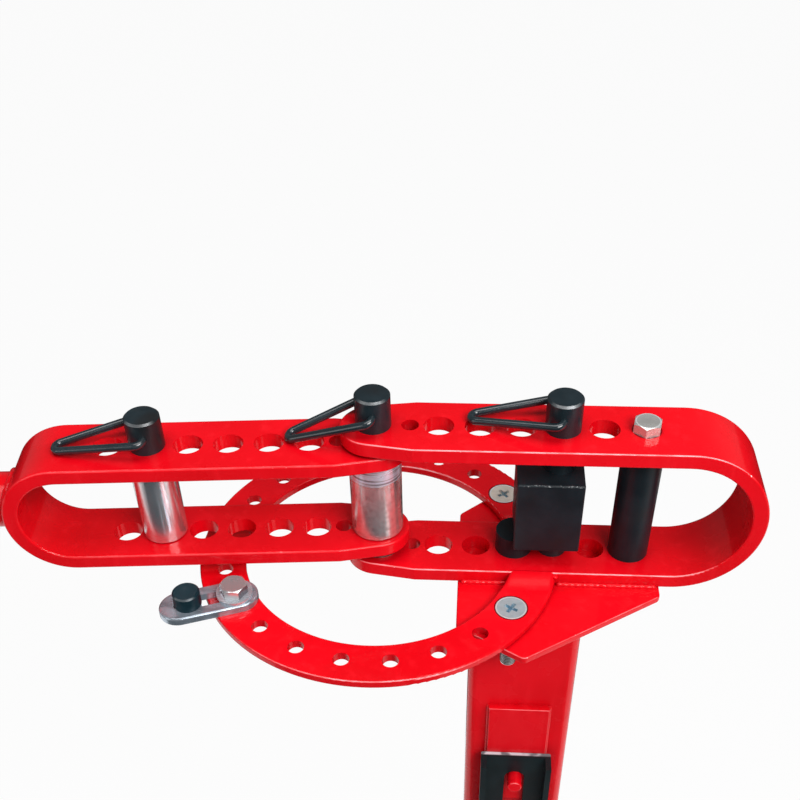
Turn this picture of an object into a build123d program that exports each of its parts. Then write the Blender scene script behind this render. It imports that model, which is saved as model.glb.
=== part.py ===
from build123d import *
from math import asin, atan2, cos, hypot, radians, sin, tan
import os

# Manual metal bender on a post stand, in millimetres.
# X runs along the fixed frame, Y away from the front, Z up.
# The origin is on the floor, at the middle of the base plate and on the axis of the post.

# Stand
base_size = 420
base_t = 10
base_corner_r = 20
plate_edge_r = 1.5
anchor_pitch = 340
anchor_hole_d = 14
post_size = 90
post_wall = 4
post_corner_r = 8
post_h = 872
gusset_leg = 120
gusset_t = 8
gusset_toe = 15
mount_t = 6
mount_corner_r = 5
mount_edge_r = 1.2

# The mounting plate reaches out from the post: sideways first, then front or back
mount_left = 55.5
mount_right = 101.5
mount_front = 110.5
mount_rear = 95
mount_left_rear_y = 53
mount_left_front_y = 79
mount_right_front_y = 40
mount_right_rear_y = 8
mount_front_x = 4.5
mount_rear_x = 10

# Holder on the front of the post
pad_w = 52
pad_t = 6
pad_h = 130
pad_drop = 124
pad_edge_r = 1
peg_d = 13
peg_out = 18.5
peg_edge_r = 1.5
peg_from_pad_top = 87
channel_w = 62
channel_deep = 18
channel_t = 5
channel_h = 150
channel_above_slot = 21
channel_slot_w = 18
channel_slot_h = 90
channel_edge_r = 1.5

# Flat bar of the fixed frame and the swing arm
pin_from_post = 120
bar_w = 60
bar_t = 12
frame_edge_r = 1.5
arm_edge_r = 2
nose_r = 25
nose_run = 30
frame_gap = 104
frame_reach = 292
arm_gap = 71
arm_reach = 281
arm_turn = 4.4

# Rows of holes along the legs, measured from the centre pin
pin_hole_d = 22.5
hole_first = 48
hole_pitch = 30
hole_count = 6
small_hole_d = 13
small_hole_x = 27
peg_hole_index = 2
block_hole_index = 3
arm_pin_hole_index = 4
spacer_hole_index = 5

# Pins with their wire bails
head_d = 26.5
head_h = 27
head_chamfer = 1.5
cross_hole_h = 14
cross_hole_d = 6.2
pin_tip_chamfer = 2
left_pin_below_arm = 8
wire_d = 6
wire_in = 8
bail_len = 71
bail_tip_r = 5.5
right_bail_turn = -6
centre_bail_turn = 2
left_bail_turn = 4

# Tooling between the legs
centre_die_d = 40
left_die_d = 34
die_chamfer = 0.8
washer_d = 36
washer_t = 7
block_w = 50
block_h = 64
block_chamfer = 1
block_from_pin = 6.5
block_peg_d = 29
block_peg_h = 18
spacer_d = 31
spacer_tap = 26
spacer_bolt_turn = 19

# Ring with its two rows of holes
ring_in_r = 107.5
ring_out_r = 144
ring_t = 7
ring_edge_r = 1.5
ring_hole_r = 124
ring_hole_d = 12.5
ring_row = 9
ring_step = 16.8
front_screw_angle = -31.3
rear_screw_angle = 35.7
screw_head_d = 24
screw_d = 12
screw_len = 60
screw_cross = 11
screw_cross_w = 3
screw_recess_h = 4
screw_recess_taper = 8
sink_angle = 82

# Hexagon fasteners
hex_af = 19
hex_h = 8
nut_h = 10
hex_sides = 6
hex_edge = 0.95
hex_slope = 30
thread_end = 1.2
thread_past = 3
washer_small_d = 28
washer_small_t = 2.5
fine_d = 10
fine_af = 16
fine_h = 7
fine_washer_d = 20
fine_washer_t = 1.6
fine_nut_h = 5

# Stop on the ring
link_hole_index = 7
link_turn = 200
link_w = 31
link_t = 6
link_edge_r = 2
link_sep = 45.5
link_past_bolt = 2.5
slot_sep = 41
slot_w = 12.6
stop_out = 36
stop_d = 21
stop_h = 13
stop_chamfer = 1.2

# Handle
tube_d = 42.4
tube_wall = 3.2
tube_len = 180
bar_d = 35.8
bar_out = 240
bar_in = 150
grip_d = 45
grip_len = 130
grip_cap = 6
grip_edge_r = 5
clamp_from_end = 25

# Clearances
running = 0.1
seat_gap = 0.3
hole_room = 0.5

# Levels
post_z = base_t
mount_z = post_z + post_h
deck_z = mount_z + mount_t
frame_z = deck_z + bar_t
frame_ceiling = frame_z + frame_gap
frame_top = frame_ceiling + bar_t
arm_z = frame_z + washer_t
arm_floor = arm_z + bar_t
arm_ceiling = arm_floor + arm_gap
arm_top = arm_ceiling + bar_t
arm_mid = (arm_z + arm_top) / 2
ring_top = deck_z + ring_t
pad_top = mount_z - pad_drop
peg_z = pad_top - peg_from_pad_top

# Sizes that follow from others
pin_x = -pin_from_post
pin_d = pin_hole_d - 2 * running
hole_x = [hole_first + index * hole_pitch for index in range(hole_count)]
frame_pin_len = frame_top - deck_z - hole_room
arm_pin_len = arm_top - arm_z + left_pin_below_arm
bolt_hole_d = screw_d + hole_room
pad_front_y = -post_size / 2 - pad_t
tube_in_d = tube_d - 2 * tube_wall
arm_bend_r = arm_gap / 2 + bar_t
arm_bend_x = arm_reach - arm_bend_r


def save(piece, name):
    """Label a finished piece and write it to its own file."""
    piece.label = name
    export_step(piece, f"parts/{name}.step")


def heading(origin, angle):
    """Level plane at a point, with its x axis turned about the vertical."""
    direction = (cos(radians(angle)), sin(radians(angle)), 0)
    return Plane(origin=origin, x_dir=direction, z_dir=(0, 0, 1))


def upright(plane):
    """The plane through the x axis of a level plane that stands up, with its y axis upwards."""
    return Plane(origin=plane.origin, x_dir=plane.x_dir, z_dir=-plane.y_dir)


def on_frame(distance, z):
    """Level plane over the middle line of the fixed frame, at a distance from the centre pin."""
    return heading((pin_x + distance, 0, z), 0)


def on_arm(distance, z):
    """Level plane over the middle line of the swing arm, at a distance from the centre pin."""
    angle = 180 + arm_turn
    return heading(
        (pin_x + distance * cos(radians(angle)), distance * sin(radians(angle)), z),
        angle,
    )


def on_ring(angle, z):
    """Level plane on the hole circle of the ring, at an angle about the centre pin."""
    return heading(
        (pin_x + ring_hole_r * cos(radians(angle)), ring_hole_r * sin(radians(angle)), z),
        angle,
    )


os.makedirs("parts", exist_ok=True)


# Base plate with four anchor holes
with BuildPart() as base_plate:
    with BuildSketch() as base_outline:
        RectangleRounded(base_size, base_size, base_corner_r)
        with GridLocations(anchor_pitch, anchor_pitch, 2, 2):
            Circle(anchor_hole_d / 2, mode=Mode.SUBTRACT)
    extrude(amount=base_t)
    fillet(base_plate.faces().sort_by(Axis.Z)[-1].outer_wire().edges(), plate_edge_r)
save(base_plate.part, "base_plate")

# Post, a square hollow tube
with BuildPart() as post:
    with BuildSketch(Plane.XY.offset(post_z)) as post_section:
        RectangleRounded(post_size, post_size, post_corner_r)
        inner = post_size - 2 * post_wall
        RectangleRounded(inner, inner, post_corner_r - post_wall, mode=Mode.SUBTRACT)
    extrude(amount=post_h)
save(post.part, "post")

# Gussets at the foot of the post, one in the middle of each face
for name, angle in (("right", 0), ("rear", 90), ("left", 180), ("front", 270)):
    with BuildPart() as gusset:
        with BuildSketch(upright(heading((0, 0, post_z), angle))) as gusset_side:
            with BuildLine():
                face_x = post_size / 2
                Polyline(
                    (face_x, 0),
                    (face_x + gusset_leg, 0),
                    (face_x + gusset_leg, gusset_toe),
                    (face_x + gusset_toe, gusset_leg),
                    (face_x, gusset_leg),
                    close=True,
                )
            make_face()
        extrude(amount=gusset_t / 2, both=True)
    save(gusset.part, f"gusset_{name}")

# Mounting plate, six-sided, with holes for the screws of the ring
with BuildPart() as mounting_plate:
    with BuildSketch(Plane.XY.offset(mount_z)) as mount_outline:
        with BuildLine():
            Polyline(
                (-mount_left, mount_left_rear_y),
                (-mount_left, -mount_left_front_y),
                (-mount_front_x, -mount_front),
                (mount_right, -mount_right_front_y),
                (mount_right, -mount_right_rear_y),
                (-mount_rear_x, mount_rear),
                close=True,
            )
        make_face()
        fillet(mount_outline.vertices(), mount_corner_r)
    extrude(amount=mount_t)
    fillet(mounting_plate.faces().filter_by(Axis.Z).edges(), mount_edge_r)
    for angle in (front_screw_angle, rear_screw_angle):
        with BuildSketch(on_ring(angle, mount_z)):
            Circle(bolt_hole_d / 2)
        extrude(amount=mount_t, mode=Mode.SUBTRACT)
save(mounting_plate.part, "mounting_plate")

# Holder pad on the front face of the post
with BuildPart() as holder_pad:
    with BuildSketch(Plane.XY.offset(pad_top)) as pad_section:
        with Locations((0, -post_size / 2)):
            Rectangle(pad_w, pad_t, align=(Align.CENTER, Align.MAX))
    extrude(amount=-pad_h)
    fillet(holder_pad.faces().sort_by(Axis.Y)[0].edges(), pad_edge_r)
save(holder_pad.part, "holder_pad")

# Holder peg on the pad
peg_plane = Plane(origin=(0, pad_front_y, peg_z), x_dir=(1, 0, 0), z_dir=(0, -1, 0))
with BuildPart() as holder_peg:
    with BuildSketch(peg_plane):
        Circle(peg_d / 2)
    extrude(amount=peg_out)
    fillet(holder_peg.faces().sort_by(Axis.Y)[0].edges(), peg_edge_r)
save(holder_peg.part, "holder_peg")

# Channel that hangs on the peg by its slot, with its flanges to the front
slot_top_z = peg_z + peg_d / 2 + seat_gap
channel_back_y = pad_front_y - seat_gap
channel_top_z = slot_top_z + channel_above_slot
with BuildPart() as hung_channel:
    with BuildSketch(Plane.XY.offset(channel_top_z)) as channel_section:
        with Locations((0, channel_back_y)):
            Rectangle(channel_w, channel_deep, align=(Align.CENTER, Align.MAX))
        with Locations((0, channel_back_y - channel_t)):
            Rectangle(
                channel_w - 2 * channel_t,
                channel_deep,
                align=(Align.CENTER, Align.MAX),
                mode=Mode.SUBTRACT,
            )
    extrude(amount=-channel_h)
    fillet(hung_channel.edges().filter_by(Axis.Z).group_by(Axis.Y)[-1], channel_edge_r)
    with BuildSketch(Plane(origin=(0, channel_back_y, slot_top_z), x_dir=(1, 0, 0), z_dir=(0, -1, 0))):
        with Locations((0, -channel_slot_w / 2)):
            Circle(channel_slot_w / 2)
            Rectangle(channel_slot_w, channel_slot_h, align=(Align.CENTER, Align.MAX))
        with Locations((0, -channel_slot_w / 2 - channel_slot_h)):
            Circle(channel_slot_w / 2)
    extrude(amount=channel_t, mode=Mode.SUBTRACT)
save(hung_channel.part, "hung_channel")


def bow(plane, reach, gap, edge_r, lower_holes, upper_holes):
    """Flat bar bent to a U, its lower leg on the plane, its legs ending in noses round the centre pin.

    Holes are pairs of distance from the pin and diameter, for each leg."""
    upper = bar_t + gap
    height = upper + bar_t
    bend_x = reach - height / 2
    with BuildPart() as part:
        with BuildSketch(upright(plane)):
            with BuildLine():
                Polyline((bend_x, 0), (-nose_r, 0), (-nose_r, bar_t), (bend_x, bar_t))
                ThreePointArc((bend_x, bar_t), (bend_x + gap / 2, height / 2), (bend_x, upper))
                Polyline((bend_x, upper), (-nose_r, upper), (-nose_r, height), (bend_x, height))
                ThreePointArc((bend_x, height), (reach, height / 2), (bend_x, 0))
            make_face()
        extrude(amount=bar_w / 2, both=True)
        with BuildSketch(plane):
            Circle(nose_r)
            with Locations((nose_run, 0)):
                Rectangle(reach - nose_run, bar_w, align=(Align.MIN, Align.CENTER))
            make_hull()
        extrude(amount=height, mode=Mode.INTERSECT)
        fillet(part.edges(), edge_r)
        for level, holes in ((0, lower_holes), (upper, upper_holes)):
            with BuildSketch(plane.offset(level)):
                for distance, diameter in holes:
                    with Locations((distance, 0)):
                        Circle(diameter / 2)
            extrude(amount=bar_t, mode=Mode.SUBTRACT)
    return part.part


pin_row = [(0, pin_hole_d), (small_hole_x, small_hole_d)] + [(x, pin_hole_d) for x in hole_x]
bolt_row = [(x, bolt_hole_d if x == hole_x[spacer_hole_index] else d) for x, d in pin_row]

# Fixed frame on the mounting plate, open to the left
fixed_frame = bow(on_frame(0, deck_z), frame_reach, frame_gap, frame_edge_r, pin_row, bolt_row)
save(fixed_frame, "fixed_frame")

# Swing arm between the legs of the fixed frame, open to the right
swing_arm = bow(on_arm(0, arm_z), arm_reach, arm_gap, arm_edge_r, pin_row, pin_row)
save(swing_arm, "swing_arm")

# Ring round the centre pin, open where the lower leg of the frame passes
with BuildPart() as ring:
    with BuildSketch(on_frame(0, deck_z)) as ring_outline:
        Circle(ring_out_r)
        Circle(ring_in_r, mode=Mode.SUBTRACT)
        Rectangle(ring_out_r, bar_w, align=(Align.MIN, Align.CENTER), mode=Mode.SUBTRACT)
        sweep_angle = ring_step * (ring_row - 1)
        with PolarLocations(ring_hole_r, ring_row, front_screw_angle, -sweep_angle, endpoint=True):
            Circle(ring_hole_d / 2, mode=Mode.SUBTRACT)
        with PolarLocations(ring_hole_r, ring_row, rear_screw_angle, sweep_angle, endpoint=True):
            Circle(ring_hole_d / 2, mode=Mode.SUBTRACT)
    extrude(amount=ring_t)
    arcs = ring.edges().filter_by(GeomType.CIRCLE)
    fillet(arcs.filter_by(lambda arc: arc.radius > ring_hole_d), ring_edge_r)
    for angle in (front_screw_angle, rear_screw_angle):
        with Locations(on_ring(angle, ring_top)):
            CounterSinkHole(
                ring_hole_d / 2,
                screw_head_d / 2 + seat_gap,
                counter_sink_angle=sink_angle,
            )
save(ring.part, "ring")


def hex_prism(plane, across_flats, height):
    """Hexagon head on a plane, with the corners of its far end turned away."""
    edge_r = across_flats / 2 * hex_edge
    with BuildPart() as part:
        with BuildSketch(plane):
            RegularPolygon(across_flats / 2, hex_sides, major_radius=False)
        extrude(amount=height)
        with BuildSketch(upright(plane)):
            with BuildLine():
                Polyline(
                    (0, 0),
                    (edge_r + height / tan(radians(hex_slope)), 0),
                    (edge_r, height),
                    (0, height),
                    close=True,
                )
            make_face()
        revolve(axis=Axis(plane.origin, plane.z_dir), mode=Mode.INTERSECT)
    return part.part


def hex_bolt(plane, across_flats, head_height, diameter, length):
    """Hexagon bolt with its head on the plane and its shank below it."""
    with BuildPart() as part:
        add(hex_prism(plane, across_flats, head_height))
        with BuildSketch(plane):
            Circle(diameter / 2)
        extrude(amount=-length)
        chamfer(part.faces().sort_by(Axis(plane.origin, plane.z_dir))[0].edges(), thread_end)
    return part.part


def collar(plane, diameter, bore, height, edge=0):
    """Round piece with a bore, standing on the plane, with its outer edges broken."""
    with BuildPart() as part:
        with BuildSketch(plane):
            Circle(diameter / 2)
            Circle(bore / 2, mode=Mode.SUBTRACT)
        extrude(amount=height)
        if edge:
            rims = part.edges().filter_by(GeomType.CIRCLE)
            chamfer(rims.filter_by(lambda rim: rim.radius > bore / 2 + edge), edge)
    return part.part


def hex_nut(plane, across_flats, bore, height):
    """Hexagon nut hanging below the plane."""
    with BuildPart() as part:
        add(hex_prism(Plane(plane.origin, plane.x_dir, -plane.z_dir), across_flats, height))
        with BuildSketch(plane):
            Circle(bore / 2)
        extrude(amount=-height, mode=Mode.SUBTRACT)
    return part.part


# Countersunk screws that hold the ring to the mounting plate, and their nuts
thread_d = screw_d + 2 * running
screw_cone_h = (screw_head_d - screw_d) / 2 / tan(radians(sink_angle / 2))
for name, angle in (("front", front_screw_angle), ("rear", rear_screw_angle)):
    top = on_ring(angle, ring_top)
    with BuildPart() as ring_screw:
        with BuildSketch(upright(top)):
            with BuildLine():
                Polyline(
                    (0, 0),
                    (screw_head_d / 2, 0),
                    (screw_d / 2, -screw_cone_h),
                    (screw_d / 2, thread_end - screw_len),
                    (screw_d / 2 - thread_end, -screw_len),
                    (0, -screw_len),
                    close=True,
                )
            make_face()
        revolve(axis=Axis(top.origin, top.z_dir))
        with BuildSketch(top):
            Rectangle(screw_cross, screw_cross_w)
            Rectangle(screw_cross_w, screw_cross)
        extrude(amount=-screw_recess_h, taper=screw_recess_taper, mode=Mode.SUBTRACT)
    save(ring_screw.part, f"ring_screw_{name}")
    save(hex_nut(on_ring(angle, mount_z), hex_af, thread_d, nut_h), f"ring_nut_{name}")

# Thrust washer that carries the arm on the lower leg
save(collar(on_frame(0, frame_z), washer_d, pin_hole_d, washer_t), "thrust_washer")

# Spacer between the legs, with a spigot in the lower leg, and its bolt
spacer_top = on_frame(hole_x[spacer_hole_index], frame_top)
spacer_depth = bar_t + spacer_tap
with BuildPart() as spacer:
    with BuildSketch(on_frame(hole_x[spacer_hole_index], frame_z)):
        Circle(spacer_d / 2)
    extrude(amount=frame_gap)
    with BuildSketch(on_frame(hole_x[spacer_hole_index], deck_z)):
        Circle(pin_d / 2)
    extrude(amount=bar_t)
    with BuildSketch(spacer_top):
        Circle(thread_d / 2)
    extrude(amount=-spacer_depth, mode=Mode.SUBTRACT)
save(spacer.part, "spacer")
spacer_bolt_at = heading(spacer_top.origin, spacer_bolt_turn)
save(hex_bolt(spacer_bolt_at, hex_af, hex_h, screw_d, spacer_depth - hole_room), "spacer_bolt")

# Block on the right pin, and the peg that carries it
block_z = frame_z + block_peg_h
with BuildPart() as block:
    with BuildSketch(on_frame(hole_x[block_hole_index], block_z)):
        with Locations((-block_from_pin, 0)):
            Rectangle(block_w, block_w)
    extrude(amount=block_h)
    chamfer(block.edges(), block_chamfer)
    with BuildSketch(on_frame(hole_x[block_hole_index], block_z)):
        Circle(pin_hole_d / 2)
    extrude(amount=block_h, mode=Mode.SUBTRACT)
save(block.part, "block")

with BuildPart() as block_peg:
    with BuildSketch(on_frame(hole_x[peg_hole_index], frame_z)):
        Circle(block_peg_d / 2)
    extrude(amount=block_peg_h)
    with BuildSketch(on_frame(hole_x[peg_hole_index], deck_z)):
        Circle(pin_d / 2)
    extrude(amount=bar_t)
save(block_peg.part, "block_peg")

# Dies, loose on their pins between the legs of the arm
die_h = arm_gap - 2 * seat_gap
for name, plane, diameter in (
    ("centre_die", on_frame(0, arm_floor + seat_gap), centre_die_d),
    ("left_die", on_arm(hole_x[arm_pin_hole_index], arm_floor + seat_gap), left_die_d),
):
    save(collar(plane, diameter, pin_hole_d, die_h, die_chamfer), name)


def pin(seat, length):
    """Pin with its head on the seat, and a cross hole for the bail along the y axis of the seat."""
    with BuildPart() as part:
        with BuildSketch(seat):
            Circle(head_d / 2)
        extrude(amount=head_h)
        chamfer(part.faces().sort_by(Axis.Z)[-1].edges(), head_chamfer)
        with BuildSketch(seat):
            Circle(pin_d / 2)
        extrude(amount=-length)
        chamfer(part.faces().sort_by(Axis.Z)[0].edges(), pin_tip_chamfer)
        with BuildSketch(upright(seat)):
            with Locations((0, cross_hole_h)):
                Circle(cross_hole_d / 2)
        extrude(amount=head_d, both=True, mode=Mode.SUBTRACT)
    return part.part


def bail(seat, drop):
    """Wire loop hinged in the cross hole of a pin head, its tip lowered by a drop along its length.

    Its sides pass the top of the head when it stands up, and its bends lie outside the head."""
    tip_x = bail_len - wire_d / 2 - bail_tip_r
    above_hole = (head_h - cross_hole_h) / tip_x
    past_top = head_d / 2 + wire_d / 2 + hole_room
    side_y = (past_top - above_hole * bail_tip_r) / (1 - above_hole)
    slope = atan2(side_y, tip_x) - asin(bail_tip_r / hypot(tip_x, side_y))
    apex_x = side_y / tan(slope)
    hinge = seat.offset(cross_hole_h)
    along = hinge.x_dir * cos(drop) - hinge.z_dir * sin(drop)
    loop = Plane(origin=hinge.origin, x_dir=along, z_dir=along.cross(hinge.y_dir))
    end_y = head_d / 2 - wire_in
    bend_r = (side_y - head_d / 2 - running) / tan((radians(90) + slope) / 2)
    with BuildPart() as part:
        with BuildLine(loop) as wire:
            FilletPolyline(
                (0, -end_y),
                (0, -side_y),
                (apex_x, 0),
                (0, side_y),
                (0, end_y),
                radius=[bend_r, bail_tip_r, bend_r],
            )
        with BuildSketch(Plane(origin=wire.wire() @ 0, z_dir=wire.wire() % 0)):
            Circle(wire_d / 2)
        sweep()
    return part.part


# Pins with their bails: each bail lies with its tip on the bar in front of it
rest_h = wire_d / 2 + seat_gap
centre_seat = on_frame(0, frame_top)
right_seat = on_frame(hole_x[block_hole_index], frame_top)
left_seat = on_arm(hole_x[arm_pin_hole_index], arm_top)
for name, seat, turn, length, tip_z in (
    ("centre", centre_seat, centre_bail_turn, frame_pin_len, arm_top),
    ("right", right_seat, right_bail_turn, frame_pin_len, frame_top),
    ("left", left_seat, arm_turn + left_bail_turn, arm_pin_len, arm_top),
):
    head = heading(seat.origin, 180 + turn)
    tip_drop = asin((head.origin.Z + cross_hole_h - tip_z - rest_h) / (bail_len - wire_d / 2))
    save(pin(head, length), f"{name}_pin")
    save(bail(head, tip_drop), f"{name}_bail")

# Slotted stop link on the ring
link_angle = front_screw_angle - link_hole_index * ring_step
link_bolt_at = on_ring(link_angle, ring_top).origin
link_plane = heading(link_bolt_at, link_turn)
bolt_plane = heading(link_bolt_at, 0)
link_top = link_plane.offset(link_t)
with BuildPart() as stop_link:
    with BuildSketch(link_plane):
        with Locations((link_sep / 2 - link_past_bolt, 0)):
            SlotCenterToCenter(link_sep, link_w)
            SlotCenterToCenter(slot_sep, slot_w, mode=Mode.SUBTRACT)
    extrude(amount=link_t)
    fillet(stop_link.faces().sort_by(Axis.Z)[-1].outer_wire().edges(), link_edge_r)
save(stop_link.part, "stop_link")

# Bolt, washer and nut that hold the link in a hole of the ring
bolt_len = washer_small_t + link_t + ring_t + nut_h + thread_past
save(collar(link_top, washer_small_d, bolt_hole_d, washer_small_t), "link_washer")
save(hex_bolt(bolt_plane.offset(link_t + washer_small_t), hex_af, hex_h, screw_d, bolt_len), "link_bolt")
save(hex_nut(bolt_plane.offset(-ring_t), hex_af, thread_d, nut_h), "link_nut")

# Stop pin in the slot of the link, with its washer and nut below
stop_at = Plane(link_top.from_local_coords((stop_out, 0, 0)), link_top.x_dir, link_top.z_dir)
stop_thread_len = link_t + fine_washer_t + fine_nut_h + thread_past
with BuildPart() as stop_pin:
    with BuildSketch(stop_at):
        Circle(stop_d / 2)
    extrude(amount=stop_h)
    chamfer(stop_pin.faces().sort_by(Axis.Z)[-1].edges(), stop_chamfer)
    with BuildSketch(stop_at):
        Circle(slot_w / 2 - running)
    extrude(amount=-link_t)
    with BuildSketch(stop_at):
        Circle(fine_d / 2)
    extrude(amount=-stop_thread_len)
    chamfer(stop_pin.faces().sort_by(Axis.Z)[0].edges(), thread_end)
save(stop_pin.part, "stop_pin")
stop_below = stop_at.offset(-link_t - fine_washer_t)
fine_bore_d = fine_d + 2 * running
save(collar(stop_below, fine_washer_d, fine_bore_d, fine_washer_t), "stop_washer")
save(hex_nut(stop_below, fine_af, fine_bore_d, fine_nut_h), "stop_nut")


def across_handle(distance):
    """Plane across the handle, at a distance from the centre pin, facing outwards."""
    level = on_arm(distance, arm_mid)
    return Plane(origin=level.origin, x_dir=level.z_dir, z_dir=level.x_dir)


# Handle tube, cut to the round of the arm's bend, with a hole for the clamp screw
tube_end = arm_reach + tube_len
handle_side = upright(on_arm(0, arm_mid))
clamp_at = on_arm(tube_end - clamp_from_end, arm_mid)
with BuildPart() as handle_tube:
    with BuildSketch(across_handle(tube_end)):
        Circle(tube_d / 2)
        Circle(tube_in_d / 2, mode=Mode.SUBTRACT)
    extrude(amount=arm_bend_x - tube_end)
    with BuildSketch(handle_side):
        with Locations((arm_bend_x, 0)):
            Circle(arm_bend_r)
    extrude(amount=tube_d, both=True, mode=Mode.SUBTRACT)
    with BuildSketch(clamp_at):
        Circle(fine_d / 2 + running)
    extrude(amount=tube_d, mode=Mode.SUBTRACT)
save(handle_tube.part, "handle_tube")

# Handle bar in the tube
with BuildPart() as handle_bar:
    with BuildSketch(across_handle(tube_end + bar_out)):
        Circle(bar_d / 2)
    extrude(amount=-bar_out - bar_in)
save(handle_bar.part, "handle_bar")

# Grip on the end of the bar
grip_end = tube_end + bar_out + grip_cap
with BuildPart() as handle_grip:
    with BuildSketch(across_handle(grip_end)):
        Circle(grip_d / 2)
    extrude(amount=-grip_len)
    fillet(handle_grip.edges(), grip_edge_r)
    with BuildSketch(across_handle(tube_end + bar_out)):
        Circle(bar_d / 2)
    extrude(amount=-grip_len, mode=Mode.SUBTRACT)
save(handle_grip.part, "handle_grip")

# Clamp screw through the wall of the tube onto the bar
clamp_head_z = tube_d / 2 + hole_room
clamp_len = clamp_head_z - bar_d / 2
save(hex_bolt(clamp_at.offset(clamp_head_z), fine_af, fine_h, fine_d, clamp_len), "handle_screw")
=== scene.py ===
from math import ceil, cos, pi, radians, sin, sqrt

import bmesh
import bpy
from mathutils import Matrix, Vector


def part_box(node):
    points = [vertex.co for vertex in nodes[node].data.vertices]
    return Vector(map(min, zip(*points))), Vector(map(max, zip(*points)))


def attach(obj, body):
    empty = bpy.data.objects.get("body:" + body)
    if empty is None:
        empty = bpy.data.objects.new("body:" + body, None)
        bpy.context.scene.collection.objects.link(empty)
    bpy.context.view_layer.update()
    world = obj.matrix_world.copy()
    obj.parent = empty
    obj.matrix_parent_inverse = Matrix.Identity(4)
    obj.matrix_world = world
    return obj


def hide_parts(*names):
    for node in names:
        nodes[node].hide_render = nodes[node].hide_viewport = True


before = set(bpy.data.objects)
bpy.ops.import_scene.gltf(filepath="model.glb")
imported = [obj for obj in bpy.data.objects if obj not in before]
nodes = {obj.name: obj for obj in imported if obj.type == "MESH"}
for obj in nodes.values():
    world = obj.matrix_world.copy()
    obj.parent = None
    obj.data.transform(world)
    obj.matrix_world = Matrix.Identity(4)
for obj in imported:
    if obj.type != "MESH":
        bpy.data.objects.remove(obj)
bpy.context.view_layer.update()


# Floor plate, square post and gussets: mild steel plate and a square hollow tube,
# cut, welded together and sprayed with glossy red enamel. The paint lies a little
# uneven, like orange skin, and is thin and rubbed along the edges, where it also
# carries painted highlights, and it carries painted shade in its corners.

mm = 0.001


class Shade:
    """A socket of a finish. Sums and products of these add the Math nodes."""

    def __init__(self, tree, socket):
        self.tree = tree
        self.socket = socket

    def node(self, kind, settings=None, inputs=None, output=0):
        """Any other node: its settings are set first, then the values or links of its sockets."""
        made = self.tree.nodes.new("ShaderNode" + kind)
        for key, value in (settings or {}).items():
            setattr(made, key, value)
        for key, value in (inputs or {}).items():
            if isinstance(value, Shade):
                self.tree.links.new(value.socket, made.inputs[key])
            else:
                made.inputs[key].default_value = value
        return Shade(self.tree, made.outputs[output])

    def math(self, operation, first, second=0.0):
        """A Math node for an operation on one or two values."""
        return self.node("Math", {"operation": operation}, {0: first, 1: second})

    def __add__(self, other):
        return self.math("ADD", self, other)

    def __radd__(self, other):
        return self.math("ADD", other, self)

    def __sub__(self, other):
        return self.math("SUBTRACT", self, other)

    def __rsub__(self, other):
        return self.math("SUBTRACT", other, self)

    def __mul__(self, other):
        return self.math("MULTIPLY", self, other)

    def __rmul__(self, other):
        return self.math("MULTIPLY", other, self)


def new_finish(name):
    """A material, and the place on the surface in the frame's metres."""
    material = bpy.data.materials.new(name)
    material.use_nodes = True
    tree = material.node_tree
    coordinates = tree.nodes.new("ShaderNodeTexCoord")
    return material, Shade(tree, coordinates.outputs["Object"])


def set_finish(material, values):
    """Sets or links the sockets of a material's shader."""
    surface = material.node_tree.nodes["Principled BSDF"]
    for key, value in values.items():
        if isinstance(value, Shade):
            material.node_tree.links.new(value.socket, surface.inputs[key])
        else:
            surface.inputs[key].default_value = value
    return material


def cloud(place, grain, detail=2.0, stretch=(1, 1, 1)):
    """Soft noise from 0 to 1, with lumps of about a grain in millimetres, drawn out by a stretch."""
    drawn = place.node(
        "VectorMath", {"operation": "DIVIDE"},
        {0: place, 1: [grain * mm * longer for longer in stretch]},
    )
    return place.node("TexNoise", None, {"Vector": drawn, "Scale": 1.0, "Detail": detail})


def ease(value, low, high):
    """0 below low and 1 above high, with a soft change between them."""
    return value.node(
        "MapRange", {"interpolation_type": "SMOOTHSTEP"},
        {"Value": value, "From Min": low, "From Max": high},
    )


def tint(first, second, share):
    """One colour turning into another by a share from 0 to 1."""
    return share.node(
        "Mix", {"data_type": "RGBA"},
        {"Factor": share, 6: first, 7: second}, output=2,
    )


def reach(place, axis):
    """How far a place lies, or a direction points, along X, Y or Z."""
    return place.node("SeparateXYZ", None, {0: place}, output=axis)


def corners(place, width):
    """0 on open faces, rising to 1 in inner corners, over a width in millimetres."""
    open_share = place.node(
        "AmbientOcclusion", {"samples": 4}, {"Distance": width * mm}, output="AO",
    )
    return ease(1.0 - open_share, 0.1, 0.7)


def uneven(height, depth):
    """The normal of a surface raised by a height from 0 to 1 times a depth in millimetres."""
    return height.node("Bump", None, {"Height": height, "Distance": depth * mm})


def long_edges(place):
    """1 on the rounded long edges on top, at the front and the back, and 0 on flat faces."""
    # This picks the edges where highlights fall, so the paler edges made from it carry painted highlights
    # as well as wear.
    facing = place.node("TexCoord", output="Normal")
    front = reach(facing, "Y")
    up = reach(facing, "Z")
    # Half way round an edge both squares are a half, so four times their product is 1.
    return 4.0 * front * front * up * up.math("MAXIMUM", up, 0.0)


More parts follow.
